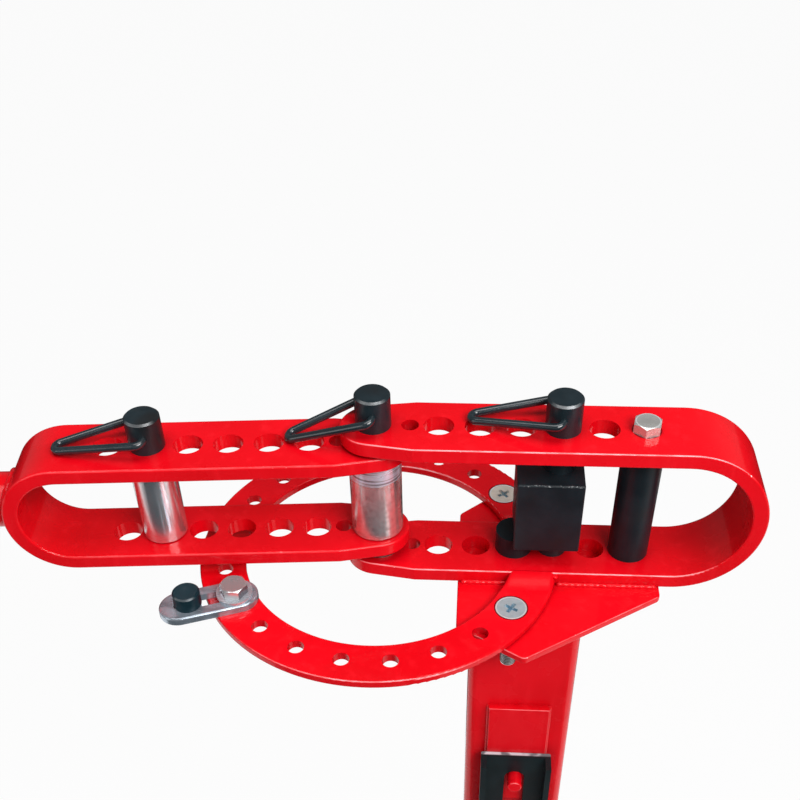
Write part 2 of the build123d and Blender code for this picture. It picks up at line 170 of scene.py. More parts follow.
def red_enamel(name, rubbed, shadow_rims=None, coat=0.3):
    """Red paint with a share of clear gloss, its long edges paler by a share from 0 to 1,
    as rubbed paint and as painted highlights.

    Shadow rims gives, from the place, where a painted shadow lies round a screw's head."""
    fresh_red = (0.88, 0.003, 0.011, 1)
    deep_red = (0.76, 0.002, 0.007, 1)
    run_red = (0.95, 0.012, 0.022, 1)
    corner_shade_red = (0.30, 0.0, 0.003, 1)
    pink_wear_and_highlight = (1.0, 0.52, 0.55, 1)
    rim_shadow_red = (0.20, 0.0, 0.004, 1)
    bare_steel_glint = (0.95, 0.92, 0.90, 1)
    material, place = new_finish(name)
    red = tint(fresh_red, deep_red, ease(cloud(place, 90, 3), 0.35, 0.7))
    runs = ease(cloud(place, 9, 3, stretch=(1, 1, 9)), 0.5, 0.8)
    red = tint(red, run_red, runs * 0.5)
    # Painted shade: corners and the insides of holes are painted a deeper red where shade falls.
    red = tint(red, corner_shade_red, corners(place, 14) * 0.6)
    edge = long_edges(place)
    # Painted highlight: the pale pink on the long edges is partly thin, rubbed paint and partly a painted
    # highlight of the edge.
    thin_paint_and_highlight = ease(edge, 0.35, 1.0) * (0.45 + 0.55 * ease(cloud(place, 16, 3), 0.35, 0.65))
    red = tint(red, pink_wear_and_highlight, thin_paint_and_highlight * rubbed)
    # Chips of bare steel on the long edges, painted near white so that they also stand as glints.
    spots = ease(cloud(place, 2.6, 2), 0.68, 0.72) * ease(cloud(place, 30, 2), 0.5, 0.56)
    chips_and_glints = ease(edge, 0.2, 0.5) * spots * min(1.0, 1.5 * rubbed)
    # Painted shadow: a dark red rim on the paint round a screw or bolt head.
    if shadow_rims:
        red = tint(red, rim_shadow_red, shadow_rims(place))
    red = tint(red, bare_steel_glint, chips_and_glints)
    peel = cloud(place, 2.4, 1) * 0.12 + cloud(place, 14, 1)
    haze = ease(cloud(place, 40, 4), 0.3, 0.75)
    return set_finish(material, {
        "Base Color": red,
        "Roughness": 0.22 + haze * 0.1 + chips_and_glints * 0.3,
        "Normal": uneven(peel - chips_and_glints, 0.07),
        "Coat Weight": coat - chips_and_glints * coat,
        "Coat Roughness": 0.05,
        "Specular IOR Level": 0.1,
    })


def dress(finish, *names):
    """Gives CAD nodes their finish."""
    for name in names:
        mesh = nodes[name].data
        mesh.materials.clear()
        mesh.materials.append(finish)


def node_box(name):
    """The lowest and the highest corner of a CAD node, in millimetres."""
    return [corner / mm for corner in map(Vector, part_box(name))]


def new_piece(name, shape, finish, body):
    """A piece made from a bmesh in the frame's metres, riding on a body."""
    bmesh.ops.recalc_face_normals(shape, faces=shape.faces)
    mesh = bpy.data.meshes.new(name)
    shape.to_mesh(mesh)
    shape.free()
    mesh.materials.append(finish)
    mesh.polygons.foreach_set("use_smooth", [True] * len(mesh.polygons))
    piece = bpy.data.objects.new(name, mesh)
    bpy.context.scene.collection.objects.link(piece)
    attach(piece, body)
    return piece


def add_strip(shape, first, second):
    """Adds a strip of faces between two lines of points to a bmesh."""
    for index in range(len(first) - 1):
        shape.faces.new((first[index], first[index + 1], second[index + 1], second[index]))


def add_tube(shape, rings, closed=False):
    """Adds faces from ring to ring of points to a bmesh, and over both ends unless it is closed."""
    pairs = list(zip(rings, rings[1:]))
    if closed:
        pairs.append((rings[-1], rings[0]))
    else:
        shape.faces.new(rings[0])
        shape.faces.new(rings[-1])
    for first, second in pairs:
        add_strip(shape, first + first[:1], second + second[:1])


def along(path, step):
    """Points at even steps along a path of straight stretches, in metres."""
    lengths = [(b - a).length for a, b in zip(path, path[1:])]
    count = max(2, ceil(sum(lengths) / step))
    points = []
    for index in range(count + 1):
        left = sum(lengths) * index / count
        stretch = 0
        while stretch < len(lengths) - 1 and left > lengths[stretch]:
            left -= lengths[stretch]
            stretch += 1
        points.append(path[stretch].lerp(path[stretch + 1], min(1.0, left / lengths[stretch])))
    return points


def add_bead(shape, path, size, closed=False):
    """Adds a run of weld to a bmesh: drops of a size in millimetres laid over each other along a path."""
    steps_to_a_drop = 3
    sides = 12
    drop_turn = 0.55
    drop_depth = 0.14
    drift_turn = 0.137
    drift_depth = 0.05
    end_share = 0.15
    points = along([Vector(point) * mm for point in path], size * mm / steps_to_a_drop)
    if closed:
        points.pop()
    count = len(points)
    rings = []
    for index, point in enumerate(points):
        before = points[(index - 1) % count if closed else max(0, index - 1)]
        after = points[(index + 1) % count if closed else min(count - 1, index + 1)]
        course = (after - before).normalized()
        upright = abs(course.z) > 0.9
        across = (course.orthogonal() if upright else course.cross((0, 0, 1))).normalized()
        over = across.cross(course)
        drop = 1 - drop_depth + drop_depth * abs(sin(index * drop_turn))
        drop += drift_depth * sin(index * drift_turn)
        from_end = 1 if closed else min(1.0, min(index, count - 1 - index) / steps_to_a_drop)
        taper = sqrt(1 - (1 - from_end) ** 2)
        radius = size * mm * drop * max(end_share, taper)
        turns = [2 * pi * side / sides for side in range(sides)]
        rings.append([
            shape.verts.new(point + radius * (cos(t) * across + sin(t) * over)) for t in turns
        ])
    add_tube(shape, rings, closed)


def corner_round(half, radius, z):
    """Points round a square with rounded corners, at a height, all in millimetres."""
    corner_steps = 6
    path = []
    for quarter in range(4):
        towards = pi / 2 * quarter + pi / 4
        corner = Vector((cos(towards), sin(towards), 0)) * (half - radius) * sqrt(2)
        for step in range(corner_steps + 1):
            turn = pi / 2 * (quarter + step / corner_steps)
            path.append(corner + Vector((radius * cos(turn), radius * sin(turn), z)))
    path.append(path[0])
    return path


stand_red = red_enamel("stand_red", rubbed=0.45)
dress(stand_red, "base_plate", "post", "gusset_right", "gusset_rear", "gusset_left", "gusset_front")

post_low, post_high = node_box("post")
post_half = post_high.x
post_corner_r = 8
foot_bead = 4
weld_red = red_enamel("weld_red", rubbed=0.0)
foot_weld = bmesh.new()
add_bead(foot_weld, corner_round(post_half, post_corner_r, post_low.z), foot_bead, closed=True)
new_piece("foot_weld", foot_weld, weld_red, "stand")

gusset_low, gusset_high = node_box("gusset_right")
gusset_bead = 3
for name, turn in (("right", 0), ("rear", 90), ("left", 180), ("front", 270)):
    gusset_weld = bmesh.new()
    around = Matrix.Rotation(radians(turn), 3, "Z")
    for side in (gusset_low.y, gusset_high.y):
        run = [
            (gusset_high.x, side, gusset_low.z), (gusset_low.x, side, gusset_low.z),
            (gusset_low.x, side, gusset_high.z),
        ]
        add_bead(gusset_weld, [around @ Vector(point) for point in run], gusset_bead)
    new_piece("gusset_weld_" + name, gusset_weld, weld_red, "stand")


# Mounting plate: a six-sided plate on the top of the post, with a weld all round
# below it. It carries the frame and the ring.

plate_red = red_enamel("plate_red", rubbed=0.8)
dress(plate_red, "mounting_plate")
head_bead = 3.5
head_weld = bmesh.new()
add_bead(head_weld, corner_round(post_half, post_corner_r, post_high.z), head_bead, closed=True)
new_piece("head_weld", head_weld, weld_red, "stand")


# Holder pad and peg: a flat plate welded to the front of the post, with a short
# round peg welded into it. They carry tooling that isn't in use.

holder_red = red_enamel("holder_red", rubbed=0.4)
dress(holder_red, "holder_pad", "holder_peg")
pad_low, pad_high = node_box("holder_pad")
pad_bead = 2.2
holder_weld = bmesh.new()
for side in (pad_low.x, pad_high.x):
    run = [(side, pad_high.y, pad_low.z), (side, pad_high.y, pad_high.z)]
    add_bead(holder_weld, run, pad_bead)
peg_low, peg_high = node_box("holder_peg")
peg_r = (peg_high.x - peg_low.x) / 2
peg_z = (peg_high.z + peg_low.z) / 2
peg_bead = 1.6
below_peg = [radians(turn) for turn in range(195, 346, 15)]
run = [(peg_r * cos(t), pad_low.y, peg_z + peg_r * sin(t)) for t in below_peg]
add_bead(holder_weld, run, peg_bead)
new_piece("holder_weld", holder_weld, weld_red, "stand")


# Hung channel: a short length of channel with a slot, blacked in oil, which hangs
# on the peg by its slot. Its edges are lighter in spots, as rubbed steel and as
# painted highlights, and its sawn top is bare.

def scaled(tone, share):
    """A colour made lighter or darker by a share."""
    return [share * part for part in tone[:3]] + [1]


def black_steel(name, tone, bright, gloss=0.36, shine=0.22, lines=None, sawn=None):
    """Blacked steel of a tone, its long edges lighter by a share, as rubbed steel and as painted
    highlights, with its roughness and shine.

    Lines give a turned surface, and sawn gives where a bare sawn end shows, both from the place."""
    brown_film = (0.016, 0.010, 0.008, 1)
    blue_film = (0.005, 0.015, 0.021, 1)
    worn_sheen_grey = (0.55, 0.56, 0.57, 1)
    scuff_grey = (0.20, 0.24, 0.26, 1)
    sawn_grey = (0.66, 0.68, 0.72, 1)
    material, place = new_finish(name)
    drift = ease(cloud(place, 24, 4), 0.3, 0.75)
    black = tint(tone, scaled(tone, 1.6), drift)
    black = tint(black, brown_film, ease(cloud(place, 33, 3), 0.5, 0.8) * 0.5)
    black = tint(black, blue_film, ease(cloud(place, 8, 4), 0.5, 0.75) * 0.6)
    # Painted highlight: the grey on the long edges is partly rubbed steel and partly a painted highlight.
    worn_and_sheen = ease(long_edges(place), 0.2, 0.8)
    if lines:
        worn_and_sheen = worn_and_sheen * (0.4 + 0.6 * ease(cloud(place, 9, 3), 0.35, 0.65))
    else:
        worn_and_sheen = worn_and_sheen * ease(cloud(place, 2.2, 3), 0.62 - 0.2 * bright, 0.74 - 0.16 * bright)
    black = tint(black, worn_sheen_grey, worn_and_sheen * bright)
    scuffs = ease(cloud(place, 0.9, 2), 0.74, 0.78) * ease(cloud(place, 11, 2), 0.58, 0.66)
    black = tint(black, scuff_grey, scuffs * 0.5)
    if sawn:
        bare = sawn(place) * (0.25 + 0.75 * ease(cloud(place, 11, 1), 0.42, 0.62))
        black = tint(black, sawn_grey, bare)
    grain = cloud(place, 1.4, 2)
    if lines:
        grain = grain * 0.4 + lines(place)
    return set_finish(material, {
        "Base Color": black,
        "Metallic": worn_and_sheen * bright * 0.9,
        "Roughness": gloss + drift * 0.07,
        "Normal": uneven(grain, 0.03),
        "Specular IOR Level": shine,
    })


def web_top(place):
    """1 along the back of the sawn top end of the channel's web."""
    bare_depth = 1.2
    depth_blur = 0.8
    bare_width = 3.6
    width_blur = 1.2
    high = node_box("hung_channel")[1]
    lower = high.z - bare_depth
    front = high.y - bare_width
    on_top = ease(reach(place, "Z"), lower * mm, (lower + depth_blur) * mm)
    at_back = ease(reach(place, "Y"), front * mm, (front + width_blur) * mm)
    return on_top * at_back


channel_black = black_steel("channel_black", (0.005, 0.013, 0.015, 1), bright=0.8, sawn=web_top)
dress(channel_black, "hung_channel")


# Fixed frame: flat bar bent to a U lying on its side, with a row of holes in each
# leg. Its lower leg is welded to the mounting plate, its paint is rubbed on the edges,
# with painted highlights there.

frame_low, frame_high = node_box("fixed_frame")


def from_axis(place, name, z):
    """The way to the place from the axis of an upright screw or pin, at a height in millimetres."""
    low, high = node_box(name)
    middle = (low + high) / 2
    centre = Vector((middle.x, middle.y, z)) * mm
    return place.node("VectorMath", {"operation": "SUBTRACT"}, {0: place, 1: centre})


def length(way):
    """The length of a way, in metres."""
    return way.node("VectorMath", {"operation": "LENGTH"}, {0: way}, output="Value")


def screw_rim(place, name, z, inner, outer):
    """1 on a narrow ring round the axis of a screw, at a height and between two radii."""
    inner_blur = 0.2
    outer_blur = 0.3
    distance = length(from_axis(place, name, z))
    outside = ease(distance, (inner - inner_blur) * mm, inner * mm)
    return outside * (1.0 - ease(distance, outer * mm, (outer + outer_blur) * mm))


def bolt_shadow(place):
    """1 on the rim round the head of the spacer's bolt, on top of the upper leg, where a painted shadow
    lies.
    """
    return screw_rim(place, "spacer_bolt", frame_high.z, inner=9.0, outer=10.7)


# The frame's paint gets a painted shadow round the spacer's bolt.
frame_red = red_enamel("frame_red", rubbed=0.85, shadow_rims=bolt_shadow)
dress(frame_red, "fixed_frame")
plate_low, plate_high = node_box("mounting_plate")
ring_high = node_box("ring")[1]
pin_low, pin_high = node_box("centre_pin")
pin_x = (pin_low.x + pin_high.x) / 2
ring_out_r = ring_high.y
ring_in_r = 107.5
leg_bead = 2.6
plate_edge = 2
rear_weld_end = 57
leg_weld = bmesh.new()
for side, far_end in ((frame_low.y, plate_high.x - plate_edge), (frame_high.y, rear_weld_end)):
    inner = pin_x + sqrt(ring_in_r ** 2 - side ** 2)
    outer = pin_x + sqrt(ring_out_r ** 2 - side ** 2)
    for start, end in ((plate_low.x + plate_edge, inner), (outer, far_end)):
        add_bead(leg_weld, [(start, side, frame_low.z), (end, side, frame_low.z)], leg_bead)
new_piece("leg_weld", leg_weld, weld_red, "stand")


# Ring: plate cut to an open ring with two rows of holes. Each end is welded to the
# side of the lower leg, and the weld is ground down to a smooth slope.

ring_screws = ("ring_screw_front", "ring_screw_rear")


def screw_rings(place, inner=12.0, outer=12.9):
    """1 on a narrow rim round each countersunk screw, between two radii, at the ring's top."""
    front, rear = [
        screw_rim(place, screw, node_box(screw)[1].z, inner, outer) for screw in ring_screws
    ]
    return front + rear


# The ring's paint gets a painted shadow round each countersunk screw.
ring_red = red_enamel("ring_red", rubbed=0.8, shadow_rims=screw_rings)
dress(ring_red, "ring")

bar_thick = 12
leg_top = frame_low.z + bar_thick
slope_in = 2
slope_out = 17
slope_root = 2
slope_rows = 24
slope_columns = 32
rim_inset = 0.6
shoulder_share = 0.1
over_leg = 0.1
under_ring = 0.15


def slope_height(across, share):
    """The height of a slope from the leg at 0 to the ring at 1, with shoulders at the ring's rims.

    The share runs from 0 at the inner rim to 1 at the outer one."""
    fall = across * across * (3 - 2 * across)
    shoulder = min(1.0, min(share, 1 - share) / shoulder_share)
    swell = sqrt(1 - (1 - shoulder) ** 2)
    rise = leg_top + over_leg - ring_high.z
    return ring_high.z + rise * (1 - fall) * swell - under_ring * fall


slope_red = red_enamel("slope_red", rubbed=0.0, coat=0.05)
end_bead = 3.2
bead_foot = Vector((-1, 0.5, 0))
bead_top = Vector((-0.5, 0.3, -1))
for name, side in (("front", -1), ("rear", 1)):
    slope = bmesh.new()
    tops = []
    roots = []
    for row in range(slope_rows + 1):
        across = row / slope_rows
        y = frame_high.y - slope_in + (slope_in + slope_out) * across
        top_line = []
        root_line = []
        for column in range(slope_columns + 1):
            share = column / slope_columns
            r = ring_in_r + rim_inset + (ring_out_r - ring_in_r - 2 * rim_inset) * share
            x = pin_x + sqrt(r * r - y * y)
            root_z = ring_high.z - slope_root
            for line, z in ((top_line, slope_height(across, share)), (root_line, root_z)):
                line.append(slope.verts.new(Vector((x, side * y, z)) * mm))
        tops.append(top_line)
        roots.append(root_line)
    for grid in (tops, roots):
        for first, second in zip(grid, grid[1:]):
            add_strip(slope, first, second)
    for end in (0, -1):
        add_strip(slope, tops[end], roots[end])
        add_strip(slope, [line[end] for line in tops], [line[end] for line in roots])
    outer = pin_x + sqrt(ring_out_r ** 2 - frame_high.y ** 2)
    foot = Vector((outer, frame_high.y, ring_high.z)) + bead_foot
    top = Vector((outer, frame_high.y, leg_top)) + bead_top
    add_bead(slope, [(point.x, side * point.y, point.z) for point in (foot, top)], end_bead)
    new_piece("ring_weld_" + name, slope, slope_red, "stand")


# Screws, bolts, nuts and washers: steel, zinc plated, with the plating a little
# cloudy. The ends of the threads stand out below the nuts.

def zinc_plate(name, tone, dull, metal=0.62, rims=None, recess=None, cloudy=0.0):
    """Zinc plating with a base tone, how dull it is as a roughness, and its share of metal.

    Rims and recess give, from the place, where a painted highlight lies on a rim or a flat, and where a
    recess gets painted shade.
    Cloudy is the share of dark clouds."""
    highlight_white = (1.0, 1.0, 1.0, 1)
    recess_shade_blue = (0.16, 0.36, 0.50, 1)
    material, place = new_finish(name)
    drift = ease(cloud(place, 9, 2), 0.3, 0.7)
    plated = tint(tone, scaled(tone, 0.8), drift)
    if cloudy:
        clouds = ease(cloud(place, 15, 2, stretch=(2.2, 1, 1)), 0.42, 0.62)
        plated = tint(plated, scaled(tone, 0.42), clouds * cloudy)
    # Painted highlights: white on a head's rim, or on a bolt's front flat and top.
    if rims:
        plated = tint(plated, highlight_white, rims(place))
    # Painted shade: the cross recess is painted a darker blue.
    if recess:
        plated = tint(plated, recess_shade_blue, recess(place) * 0.75)
    grain = cloud(place, 1.1, 2)
    scratches = cloud(place, 0.7, 2, stretch=(14, 1, 1))
    return set_finish(material, {
        "Base Color": plated,
        "Metallic": metal,
        "Roughness": dull + drift * 0.08 + ease(scratches, 0.5, 0.8) * 0.06,
        "Normal": uneven(grain + scratches * 0.6, 0.002),
    })


def new_thread(name, screw, nut, diameter, pitch, finish, body):
    """The thread at the end of an upright screw, below its nut, with its sizes in millimetres."""
    steps = 28
    crest = 0.35
    root = -0.05
    half_width = 0.45
    plain_end = 1.2
    low, high = node_box(screw)
    middle = (low + high) / 2
    top = node_box(nut)[0].z
    bottom = low.z + plain_end
    thread = bmesh.new()
    lines = [[], [], []]
    for index in range(ceil((top - bottom) / pitch * steps)):
        turn = index / steps
        t = 2 * pi * turn
        for line, out, rise in zip(lines, (root, crest, root), (half_width, 0.0, -half_width)):
            r = diameter / 2 + out
            z = max(bottom, top - turn * pitch + rise * pitch)
            line.append(thread.verts.new(Vector((middle.x + r * cos(t), middle.y + r * sin(t), z)) * mm))
    for upper, lower in zip(lines, lines[1:] + lines[:1]):
        add_strip(thread, upper, lower)
    for end in (0, -1):
        thread.faces.new([line[end] for line in lines])
    new_piece(name, thread, finish, body)


zinc = zinc_plate("zinc", (0.86, 0.85, 0.87, 1), dull=0.24)
dress(zinc, "link_nut", "handle_screw")
# The ring's nuts and the threads below the nuts are a darker zinc.
dark_zinc = zinc_plate("dark_zinc", (0.16, 0.14, 0.12, 1), dull=0.3)
dress(dark_zinc, "ring_nut_front", "ring_nut_rear")


def bolt_rim(place):
    """1 on the rim of the spacer's bolt, where the top of its head is turned round."""
    return screw_rim(place, "spacer_bolt", node_box("spacer_bolt")[1].z, inner=8.3, outer=9.2)


# The turned rim of the bolt's head is painted white as a highlight.
bolt_zinc = zinc_plate("spacer_bolt_zinc", (0.70, 0.69, 0.66, 1), dull=0.24, rims=bolt_rim)
dress(bolt_zinc, "spacer_bolt")


def head_rims(place):
    """1 on the rim of each countersunk head."""
    return screw_rings(place, inner=10.9, outer=11.8)


def head_crosses(place):
    """1 in the cross recess of each countersunk head."""
    cross_r = 5
    cross_blur = 0.6
    lip = 0.3
    sunk_depth = 0.8
    share = 0.0
    for screw in ring_screws:
        away = from_axis(place, screw, node_box(screw)[1].z)
        sunk = 1.0 - ease(reach(away, "Z"), -sunk_depth * mm, -lip * mm)
        inside = 1.0 - ease(length(away), cross_r * mm, (cross_r + cross_blur) * mm)
        share = share + sunk * inside
    return share


# Both heads get painted highlights on their rims and painted shade in their recesses. The rear screw's
# zinc is paler and less metal than the front one's, a painted lift against the frame's shade on it.
screw_dull = 0.35
for end, tone, metal in (("front", (0.72, 0.83, 0.88, 1), 0.62), ("rear", (1.0, 0.91, 0.80, 1), 0.35)):
    screw_zinc = zinc_plate(end + "_screw_zinc", tone, screw_dull, metal, head_rims, head_crosses)
    dress(screw_zinc, "ring_screw_" + end)

m12 = 12
m12_pitch = 1.75
for screw, nut in (
    ("ring_screw_front", "ring_nut_front"), ("ring_screw_rear", "ring_nut_rear"),
    ("link_bolt", "link_nut"),
):
    new_thread(screw + "_thread", screw, nut, m12, m12_pitch, dark_zinc, "stand")


# Thrust washer and dies: turned from bar and left bare. They show fine lines round
# them, and the centre die is stained where it has rubbed on work.

def turned_steel(
    name, tone, stain, bare_above=None, run=(1, 1, 0), dull=0.18, spread=0.0, groove=0.012,
    metal=0.92, marked=1.0,
):
    """Bare steel with fine lines along a run, from turning or drawing, and stains by a share.

    Above a height in millimetres, if given, no work has rubbed it and it is paler. Dull is its
    roughness, spread draws the gloss out across the lines, groove is the depth of the lines in
    millimetres, metal is the share of metal, and marked says how strongly brush marks show."""
    dark_ring = (0.10, 0.11, 0.17, 1)
    pale_ring = (0.78, 0.84, 0.98, 1)
    material, place = new_finish(name)
    lines = cloud(place, 1.5, 0, stretch=[1 + 39 * part for part in run])
    brushed = ease(cloud(place, 2.4, 1, stretch=[1 + 8 * part for part in run]), 0.3, 0.7)
    mottled = ease(cloud(place, 3.0, 2, stretch=(1.5, 1.5, 1)), 0.42, 0.66)
    steel = tint(tone, scaled(tone, 0.75), brushed * marked)
    steel = tint(steel, scaled(tone, 0.4), mottled * stain)
    roughness = dull + brushed * (0.06 * marked) + stain * 0.2
    if bare_above:
        ragged = reach(place, "Z") + (cloud(place, 5, 3, stretch=(2, 2, 1)) - 0.5) * (5 * mm)
        bare = ease(ragged, (bare_above - 0.8) * mm, (bare_above + 0.8) * mm)
        rings = ease(cloud(place, 1.9, 1, stretch=(30, 30, 1)), 0.36, 0.52)
        steel = tint(steel, dark_ring, bare * (1.0 - rings) * 0.7)
        steel = tint(steel, pale_ring, bare * rings)
        roughness = roughness + bare * 0.04
        metal = metal - bare * 0.25
    return set_finish(material, {
        "Base Color": steel,
        "Metallic": metal,
        "Roughness": roughness,
        "Normal": uneven(lines + brushed * 0.3, groove),
        "Anisotropic": spread,
        "Anisotropic Rotation": 0.25,
    })


work_top = 973
centre_die_steel = turned_steel(
    "centre_die_steel", (0.90, 0.88, 0.87, 1), stain=0.4, bare_above=work_top, dull=0.15,
    spread=0.9, groove=0.0005, metal=0.86, marked=0.5,
)
dress(centre_die_steel, "centre_die")
left_die_steel = turned_steel(
    "left_die_steel", (0.86, 0.88, 0.90, 1), stain=0.05, dull=0.23, spread=0.9, groove=0.0003,
    marked=0.15,
)
dress(left_die_steel, "left_die")
washer_steel = turned_steel("washer_steel", (0.3, 0.29, 0.28, 1), stain=0.8)
dress(washer_steel, "thrust_washer")


# Block, its peg and the spacer: cut from bar and blacked. Their faces are a little
# scuffed, and their edges are rubbed, with painted highlights on them.

block_tone = (0.008, 0.014, 0.018, 1)
block_black = black_steel("block_black", block_tone, bright=0.45)
dress(block_black, "block", "block_peg")
spacer_black = black_steel("spacer_black", block_tone, bright=0.2)
dress(spacer_black, "spacer")


# Swing arm and handle tube: a smaller U of flat bar between the legs of the frame,
# with a round tube welded to the outside of its bend, sprayed in one go.

arm_red = red_enamel("arm_red", rubbed=0.12)
dress(arm_red, "swing_arm", "handle_tube")
rest_turn = 4.4
arm_turn = radians(180 + rest_turn)
arm_out = Vector((cos(arm_turn), sin(arm_turn), 0))
arm_side = Vector((-sin(arm_turn), cos(arm_turn), 0))
arm_low, arm_high = node_box("swing_arm")
arm_middle = Vector((pin_x, 0, (arm_low.z + arm_high.z) / 2))
arm_reach = 281
bend_r = (arm_high.z - arm_low.z) / 2
tube_r = 21.2
tube_bead = 3
root_steps = 48
tube_root = []
for step in range(root_steps + 1):
    t = 2 * pi * (step % root_steps) / root_steps
    rise = tube_r * sin(t)
    out = arm_reach - bend_r + sqrt(bend_r ** 2 - rise ** 2)
    tube_root.append(arm_middle + arm_out * out + arm_side * tube_r * cos(t) + Vector((0, 0, rise)))
tube_weld = bmesh.new()
add_bead(tube_weld, tube_root, tube_bead, closed=True)
new_piece("tube_weld", tube_weld, weld_red, "arm")


# Pins: turned from bar with thick heads and blacked. Wire bails are bent from round
# bar, hinged in a hole across each head, and blacked too.

def head_rings(name):
    """Turned lines round the axis of a pin, worked out from the place."""
    lines_across = 5200.0
    lines_upward = 4200.0

    def lines(place):
        away = from_axis(place, name, 0)
        flat = away.node("VectorMath", {"operation": "MULTIPLY"}, {0: away, 1: (1, 1, 0)})
        wave = length(flat) * lines_across + reach(place, "Z") * lines_upward
        return wave.math("SINE", wave) * 0.5 + 0.5

    return lines


pin_tone = (0.010, 0.018, 0.023, 1)
for pin in ("centre_pin", "right_pin", "left_pin"):
    pin_black = black_steel(
        pin + "_black", pin_tone, bright=0.4, gloss=0.3, shine=0.4, lines=head_rings(pin),
    )
    dress(pin_black, pin)
bail_black = black_steel("bail_black", pin_tone, bright=0.0, gloss=0.2, shine=0.9)
dress(bail_black, "centre_bail", "right_bail", "left_bail")


# Stop: a slotted link cut from flat bar and zinc plated, held on the ring by a bolt,
# with a black pin in its slot. It stops the arm where the bend is done.

def highlighted_flats(place):
    """Where a bolt's head gets a painted highlight: most on the front flat, less on the top."""
    facing = place.node("TexCoord", output="Normal")
    front_flat = ease(0.0 - reach(facing, "Y"), 0.7, 0.9)
    top = ease(reach(facing, "Z"), 0.3, 0.6)
    return front_flat * 0.8 + top * 0.45


link_zinc = zinc_plate("link_zinc", (0.56, 0.64, 0.73, 1), dull=0.18, metal=0.68, cloudy=0.65)
dress(link_zinc, "stop_link", "stop_washer", "stop_nut")
link_washer_zinc = zinc_plate("link_washer_zinc", (0.66, 0.70, 0.76, 1), dull=0.22, metal=0.6)
dress(link_washer_zinc, "link_washer")
# The link bolt's head gets painted highlights on its front flat and its top.
link_bolt_zinc = zinc_plate(
    "link_bolt_zinc", (0.26, 0.26, 0.29, 1), dull=0.18, metal=0.7, rims=highlighted_flats,
)
dress(link_bolt_zinc, "link_bolt")
stop_tone = (0.005, 0.020, 0.028, 1)
stop_black = black_steel(
    "stop_black", stop_tone, bright=0.3, gloss=0.3, shine=0.15, lines=head_rings("stop_pin"),
)
dress(stop_black, "stop_pin")
m10 = 10
m10_pitch = 1.5
new_thread("stop_thread", "stop_pin", "stop_nut", m10, m10_pitch, link_zinc, "stop")


# Handle bar and grip: a round steel bar that slides in the tube, with a moulded
# rubber grip pushed on its end.

bar_steel = turned_steel("handle_bar_steel", (0.58, 0.57, 0.56, 1), stain=0.15, run=(1, 0, 0))
dress(bar_steel, "handle_bar")


def grip_rubber(name):
    """Black rubber with a fine moulded grain and dust in its grooves."""
    fresh_black = (0.010, 0.010, 0.011, 1)
    faded_black = (0.020, 0.020, 0.022, 1)
    dust = (0.06, 0.056, 0.05, 1)
    material, place = new_finish(name)
    drift = ease(cloud(place, 30, 3), 0.3, 0.7)
    rubber = tint(fresh_black, faded_black, drift)
    rubber = tint(rubber, dust, corners(place, 4) * 0.5)
    grain = cloud(place, 0.8, 2)
    return set_finish(material, {
        "Base Color": rubber,
        "Roughness": 0.55 + drift * 0.15,
        "Normal": uneven(grain, 0.06),
        "Specular IOR Level": 0.4,
    })


grip_far = 707
grip_len = 130
grip_r = 22.5
grip_end_r = 5
plain_len = 14
rib_pitch = 8.2
rib_depth = 1.4
grip_steps = 130
grip_sides = 64
grip = bmesh.new()
grip_rings = []
for step in range(grip_steps + 1):
    distance = step / grip_steps * grip_len
    from_ends = min(distance, grip_len - distance)
    round_end = sqrt(1 - (1 - min(1.0, from_ends / grip_end_r)) ** 2)
    ribbed = 0.5 - 0.5 * cos(2 * pi * distance / rib_pitch) if from_ends > plain_len else 0.0
    r = grip_r - grip_end_r * (1 - round_end) - rib_depth * ribbed
    centre = arm_middle + arm_out * (grip_far - distance)
    turns = [2 * pi * side / grip_sides for side in range(grip_sides)]
    grip_rings.append([
        grip.verts.new((centre + r * (cos(t) * arm_side + Vector((0, 0, sin(t))))) * mm) for t in turns
    ])
add_tube(grip, grip_rings)
grip_piece = new_piece("ribbed_grip", grip, grip_rubber("grip_rubber"), "arm")
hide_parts("handle_grip")


# Floor: a plain white paper floor. It stays white to the camera and in reflections,
# and keeps the soft shadow of the machine.

floor_half = 9
floor_mesh = bpy.data.meshes.new("floor")
floor_shape = bmesh.new()
bmesh.ops.create_grid(floor_shape, x_segments=1, y_segments=1, size=floor_half)
floor_shape.to_mesh(floor_mesh)
floor_shape.free()
floor = bpy.data.objects.new("floor", floor_mesh)
bpy.context.scene.collection.objects.link(floor)


def shows_background(place):
    """1 for what the camera sees, straight on, in a mirror or through glass."""
    seen = place.node("LightPath", output="Is Camera Ray")
    for kind in ("Is Glossy Ray", "Is Transmission Ray"):
        seen = seen.math("MAXIMUM", seen, seen.node("LightPath", output=kind))
    return seen


floor_white, place = new_finish("floor_white")
paper = place.node("BsdfDiffuse", None, {"Color": (0.82, 0.82, 0.82, 1)})
white = place.node("Emission", None, {"Color": (1, 1, 1, 1), "Strength": 1.0})
white_share = 0.95
mixed = place.node("MixShader", None, {0: shows_background(place) * white_share, 1: paper, 2: white})
floor_tree = floor_white.node_tree
floor_tree.links.new(mixed.socket, floor_tree.nodes["Material Output"].inputs["Surface"])
floor_mesh.materials.append(floor_white)


# Studio: dark cards on the floor in front, beside and behind, which only the gloss of
# the paint and the metal shows, soft lamps in front and above, and a dim white room.

